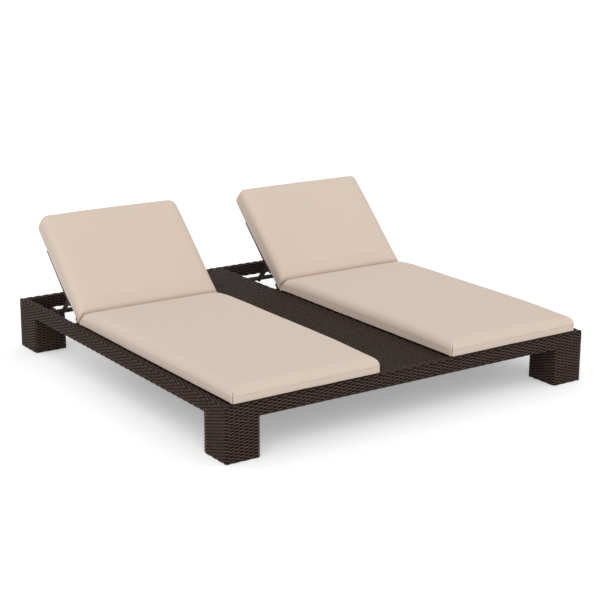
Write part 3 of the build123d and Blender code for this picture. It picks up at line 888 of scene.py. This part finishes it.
def blow_up(piece, caps):
    """How far cloth pressure moves each point, levelled off at a cap for each direction."""
    start = mesh_points(piece.data)
    cloth = piece.modifiers.new("cloth", "CLOTH")
    cloth.settings.quality = cloth_quality
    cloth.settings.use_pressure = True
    cloth.settings.uniform_pressure_force = pressure
    cloth.settings.effector_weights.gravity = 0.0
    for number in range(1, cloth_frames + 1):
        bpy.context.scene.frame_set(number)
    moved = mesh_points(with_modifiers(piece)) - start
    piece.modifiers.remove(cloth)
    bpy.context.scene.frame_set(1)
    print("cloth moved up to", np.abs(moved).max(axis=0).round(4), "m")
    return np.array(caps) * np.tanh(moved / foam_softness)


print("cushions are blown up over", cloth_frames, "frames")

# %% [markdown]
# Seams are narrower than the small squares, so they come after the cloth. The mesh is cut along
# three close planes, the middle line is drawn in by a millimetre or two, and it gets the seam
# value that the canvas darkens. On a seat cushion one seam runs round it below half its height,
# and a short, deeper one stands on each front corner. A back cushion's seam is hidden by its hood.

# %% Seams and cloth coordinates
side_stitch = (0.0020, 0.0008, 0.20)
corner_stitch = (0.0022, 0.0018, 0.95)


@contextmanager
def edited(mesh):
    """The mesh as an editable shape, written back at the end."""
    shape = bmesh.new()
    shape.from_mesh(mesh)
    yield shape
    shape.to_mesh(mesh)
    shape.free()


def cut_seam(shape, layer, place, direction, stitch, near=None):
    """A groove where a plane cuts the faces for which near holds. stitch: half its width, its
    depth and its seam value."""
    place, direction = Vector(place), Vector(direction).normalized()
    half_wide, deep, value = stitch
    for offset in (-half_wide, 0.0, half_wide):
        faces = [f for f in shape.faces if near is None or near(f.calc_center_median())]
        parts = set(faces)
        for face in faces:
            parts.update(face.edges)
            parts.update(face.verts)
        bmesh.ops.bisect_plane(shape, geom=list(parts), dist=1e-5,
                               plane_co=place + offset * direction, plane_no=direction)
    shape.normal_update()
    for vertex in shape.verts:
        share = 1 - (direction.dot(vertex.co - place) / half_wide) ** 2
        if share > 0 and (near is None or near(vertex.co)):
            vertex[layer] = max(vertex[layer], value * share)
            vertex.co -= vertex.normal * deep * share


def add_cloth_coordinates(mesh):
    """A UV map in metres, taken flat across whichever way each face looks."""
    facing = np.abs(values_of(mesh.polygons, "normal", width=3)).argmax(axis=1)
    axis = np.repeat(facing, values_of(mesh.polygons, "loop_total", int))
    corner_points = values_of(mesh.loops, "vertex_index", int)
    points = mesh_points(mesh)[corner_points]
    first = np.where(axis == 0, points[:, 1], points[:, 0])
    second = np.where(axis == 2, points[:, 1], points[:, 2])
    layer = mesh.uv_layers.new(name="cloth")
    layer.data.foreach_set("uv", np.stack([first, second], axis=1).ravel())


def dress_cloth(piece, body, place, node):
    """Cloth coordinates, place and finish for a fabric piece that lies flat."""
    add_cloth_coordinates(piece.data)
    piece.data.transform(place)
    dress(piece, canvas, body, node)


def smooth_step(values, start, end):
    share = np.clip((values - start) / (end - start), 0, 1)
    return share * share * (3 - 2 * share)


def soft_cushion(name, node, body, place, shell, shaped, yields, sag, caps, seam_height=0.0,
                 corner_seams=()):
    """A blown-up cushion. shaped alters the shell's points, yields says how free each one is, sag
    how far it hangs down, and caps how far it may move each way. A corner seam is a corner's place,
    its reach and its top."""
    points, faces = shell
    points = shaped(points)
    piece = new_piece(name, bpy.data.meshes.new(name))
    piece.data.from_pydata(points.tolist(), [], faces)
    points = points + blow_up(piece, caps) * yields(points)[:, None]
    points[:, 2] = np.maximum(points[:, 2], 0)
    points[:, 2] -= sag(points)
    set_points(piece.data, points)
    finer = piece.modifiers.new("finer", "SUBSURF")
    finer.levels = finer.render_levels = 1
    apply_modifiers(piece)
    with edited(piece.data) as shape:
        layer = shape.verts.layers.float.new("seam")
        if seam_height:
            cut_seam(shape, layer, (0, 0, seam_height), (0, 0, 1), side_stitch)
        for x, y, reach, top in corner_seams:
            across = (math.copysign(1, x), -math.copysign(1, y), 0)
            cut_seam(shape, layer, (x, y, 0), across, corner_stitch,
                     lambda c: (c.x - x) ** 2 + (c.y - y) ** 2 < reach * reach and c.z < top)
    dress_cloth(piece, body, place, node)


print("seams", 2000 * side_stitch[0], "mm wide")

# %% [markdown]
# Each seat cushion lies on its deck and reaches over the foot rail. Its head end leans back
# towards the foot as it rises, beside the low end of the raised backrest, and it is a little
# thinner there, where the back cushion presses on it. Its front is thinner too, where people sit
# down, and the part that hangs over the rail sags by a few millimetres.

# %% Seat cushions
seat_spare = 0.005
seat_height = 0.074
seat_shoulder = (0.038, 0.042)
seat_corner_radii = (0.012, 0.018)
seat_caps = (0.003, 0.003, 0.010)
lean, lean_height, lean_start = 0.034, 0.045, 0.12
pressed_share, pressed_reach = 0.19, 0.24
front_fall, front_reach = 0.13, 0.38
thinned_from, thinned_to = 0.02, 0.05
front_sag, sag_reach = 0.0025, 0.030
held_end = 0.03
seat_seam, corner_seam_top, corner_seam_reach = 0.0285, 0.048, 0.03


def lean_back(points, half_y):
    """The head end drawn towards the foot as it rises and pressed a little thinner, and the front
    worn lower."""
    x, y, z = points.T
    pull = lean * np.clip(z / lean_height, 0, 1) * smooth_step(y, half_y - lean_start, half_y)
    lost = pressed_share * smooth_step(y, half_y - pressed_reach, half_y)
    lost += front_fall * smooth_step(-y, half_y - front_reach, half_y)
    return np.stack([x, y - pull, z * (1 - lost * smooth_step(z, thinned_from, thinned_to))], axis=1)


for side in SIDES:
    node = f"{side}_seat_cushion"
    (x0, y0, z0), (x1, y1, z1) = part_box(node)
    half_x = (x1 - x0) / 2 + seat_spare
    half_y = (y1 - y0) / 2 + seat_caps[1]
    place = Matrix.Translation(((x0 + x1) / 2, (y0 + y1) / 2, z0))
    shell = cushion_shell(half_x, half_y, seat_height, seat_shoulder, seat_corner_radii)
    corner_seams = [(x, -half_y, corner_seam_reach, corner_seam_top) for x in (-half_x, half_x)]
    soft_cushion(f"{side}_seat_pad", node, "frame", place, shell, lambda p: lean_back(p, half_y),
                 lambda p: 1 - smooth_step(p[:, 1], half_y - lean_start, half_y - held_end),
                 lambda p: front_sag * smooth_step(-p[:, 1], half_y - sag_reach, half_y), seat_caps,
                 seat_seam, corner_seams)

# %% [markdown]
# The back cushions are shorter slabs with rounder upper corners and tighter shoulders. Their
# underside lies on the woven panel, and their low end is cut at a slant, beside the seat cushion,
# and drawn in below. No two filled cushions are equal: in the photograph the right one is a
# little longer and fuller at its upper corners, so each side has its own height, extra length,
# corner radius and loss of height at the upper corners.

# %% Back cushions
back_spare = 0.008
back_shoulder = (0.030, 0.032)
low_corner_radius = 0.006
back_caps = (0.003, 0.003, 0.011)
back_slant, back_slant_height, back_slant_length = 0.009, 0.066, 0.10
low_end_held = 0.005
taper, taper_length, taper_height = 0.026, 0.30, 0.045
corner_from_middle, corner_length = 0.12, 0.25
back_forms = {"left": (0.085, 0.007, 0.046, 0.08), "right": (0.087, 0.010, 0.038, 0.03)}


def shape_back(points, half_x, half_y, corner_loss):
    """The low end drawn towards the head as it rises and its underside narrower, and the two upper
    corners a little thinner."""
    x, y, z = points.T
    narrower = taper * smooth_step(-y, half_y - taper_length, half_y)
    x = x * (1 - narrower * np.clip(1 - z / taper_height, 0, 1))
    pull = back_slant * np.clip(z / back_slant_height, 0, 1)
    pull = pull * smooth_step(-y, half_y - back_slant_length, half_y)
    corner = smooth_step(np.abs(x), corner_from_middle, half_x)
    corner = corner * smooth_step(y, half_y - corner_length, half_y)
    return np.stack([x, y + pull, z * (1 - corner_loss * corner)], axis=1)


for side in SIDES:
    node = f"{side}_back_cushion"
    lowest, highest = flat_box(node, side)
    height, reach, corner, loss = back_forms[side]
    half_x = (highest[0] - lowest[0]) / 2 + back_spare
    half_y = (highest[1] - lowest[1] + reach) / 2
    place = tilt(side) @ Matrix.Translation((0, lowest[1] + half_y, lowest[2]))
    shell = cushion_shell(half_x, half_y, height, back_shoulder, (low_corner_radius, corner))
    soft_cushion(f"{side}_back_pad", node, f"{side}_back", place, shell,
                 lambda p: shape_back(p, half_x, half_y, loss),
                 lambda p: smooth_step(p[:, 1], low_end_held - half_y, back_slant_length - half_y),
                 lambda p: 0.0, back_caps)

# %% [markdown]
# A hood is a shallow fabric pocket sewn under the top end of each back cushion. It slips over the
# top of the frame and keeps the cushion from sliding down. It is one sheet that turns up into
# walls at its two sides and its top end, so it is drawn as a grid of rows and columns like a
# dish, given its thickness inwards and trimmed level with the cushion. Its open edge is turned
# back into a hem.

# %% Hoods
hood_cloth = 0.0022
hood_columns = 60
floor_places, corner_places, turn_places, wall_places = 13, 11, 4, 5
hood_turn = 0.004
hem_width = 0.016
hood_corner = 0.052


def hood_rows(start, end, low_z, high_z):
    """For each row: its place along, its floor height and how far its sides are drawn in."""
    rows = [(y, low_z, 0.0) for y in np.linspace(start, end - hood_corner, floor_places)]
    for turn in quarter_turn(corner_places)[1:]:
        drawn = hood_corner * (1 - math.cos(turn))
        rows.append((end - hood_corner * (1 - math.sin(turn)), low_z, drawn))
    for turn in quarter_turn(turn_places)[1:]:
        rows.append((end, low_z + hood_turn * (1 - math.cos(turn)), hood_corner))
    for z in np.linspace(low_z + hood_turn, high_z, turn_places)[1:]:
        rows.append((end, z, hood_corner))
    return rows


def hood_sheet(side):
    node = f"{side}_back_hood"
    lowest, highest = flat_box(node, side)
    middle, half = (lowest[0] + highest[0]) / 2, (highest[0] - lowest[0]) / 2
    points, columns = [], 0
    rows = hood_rows(lowest[1], highest[1], lowest[2], highest[2])
    for y, floor_z, drawn in rows:
        width = half - drawn
        turn = min(hood_turn, highest[2] - floor_z)
        wall = [(width, z) for z in np.linspace(highest[2], floor_z + turn, wall_places)]
        bend = [(width - turn * (1 - math.cos(a)), floor_z + turn * (1 - math.sin(a)))
                for a in quarter_turn(turn_places)[1:]]
        level = [(x, floor_z) for x in np.linspace(width - turn, 0, hood_columns // 2 + 1)[1:]]
        half_row = wall + bend + level
        row = [(-x, z) for x, z in half_row] + [(x, z) for x, z in reversed(half_row[:-1])]
        columns = len(row)
        points += [(middle + x, y, z) for x, z in row]
    index = np.arange(len(points)).reshape(len(rows), columns)
    faces = np.stack([index[:-1, :-1], index[:-1, 1:], index[1:, 1:], index[1:, :-1]], axis=-1)
    piece = new_piece(f"{side}_hood", bpy.data.meshes.new(f"{side}_hood"))
    piece.data.from_pydata(points, [], faces.reshape(-1, 4).tolist())
    with edited(piece.data) as shape:
        bmesh.ops.remove_doubles(shape, verts=shape.verts, dist=1e-6)
        layer = shape.verts.layers.float.new("seam")
        cut_seam(shape, layer, (0, lowest[1] + hem_width, 0), (0, 1, 0), side_stitch)
    thick = piece.modifiers.new("thick", "SOLIDIFY")
    thick.thickness = hood_cloth
    thick.offset = 1.0
    apply_modifiers(piece)
    points = mesh_points(piece.data)
    points[:, 1:] = np.minimum(points[:, 1:], highest[1:])
    set_points(piece.data, points)
    long, wall = (highest - lowest)[1:]
    dress_cloth(piece, f"{side}_back", tilt(side), node)


for side in SIDES:
    hood_sheet(side)

# %% [markdown]
# The parts that keep their construction shape get the finish of their own material slot, so a
# bar stays powder-coated and a screw stays steel in every view.

# %% Finishes of the kept parts
finish_of_slot = {"brown_metal": powder_coat, "stainless": stainless, "black_nylon": nylon,
                  "woven_strand": espresso, "cushion_cloth": canvas}
for part in frame["record"]["subparts"]:
    mesh = frame["nodes"][part["node"]].data
    mesh.materials.clear()
    mesh.materials.append(finish_of_slot[part["material_slot"]])

# %% [markdown]
# The photograph is a studio shot on white. A wide, pale floor carries the soft shadow, and a
# little light of its own, for the camera and for reflections only, lifts its open part to full
# white. The sky does the same, so that no horizon shows. The object itself is lit by an even sky
# and one broad, soft sun from the front left, at a level where a colour renders as it is written.

# %% Floor, sky and light
floor_radius, floor_sides = 60.0, 64
floor_color = (0.86, 0.86, 0.86, 1)
floor_lift = 0.32
sky_level = 0.72
sun_power = 1.06
sun_from = Vector((-0.34, -0.50, 0.50))
sun_spread = math.radians(45)


def seen_or_mirrored(tree):
    """One for rays from the camera, a mirror or glass, and nought for the rest."""
    path = add_node(tree, "ShaderNodeLightPath")
    first = calculated(tree, "ADD", path["Is Camera Ray"], path["Is Glossy Ray"])
    return calculated(tree, "ADD", first, path["Is Transmission Ray"], use_clamp=True)


floor = new_piece("floor", bpy.data.meshes.new("floor"))
with edited(floor.data) as shape:
    bmesh.ops.create_circle(shape, cap_ends=True, segments=floor_sides, radius=floor_radius)
paper, tree, shader = new_material("studio_paper")
lift = calculated(tree, "MULTIPLY", seen_or_mirrored(tree), floor_lift)
feed(tree, shader, {"Base Color": floor_color, "Roughness": 0.9, "Specular IOR Level": 0.0,
                    "Emission Color": (1, 1, 1, 1), "Emission Strength": lift})
floor.data.materials.append(paper)

world = bpy.data.worlds.new("studio")
world.use_nodes = True
bpy.context.scene.world = world
tree = world.node_tree
feed(tree, tree.nodes["Background"], {"Color": (1, 1, 1, 1),
                                      "Strength": ranged(tree, seen_or_mirrored(tree), sky_level, 1.0)})

sun = new_piece("key", bpy.data.lights.new("key", "SUN"))
sun.data.energy = sun_power
sun.data.angle = sun_spread
sun.rotation_euler = sun_from.to_track_quat("Z", "Y").to_euler()
bpy.context.scene.view_settings.view_transform = "Standard"
print("sky", sky_level, "sun", sun_power)
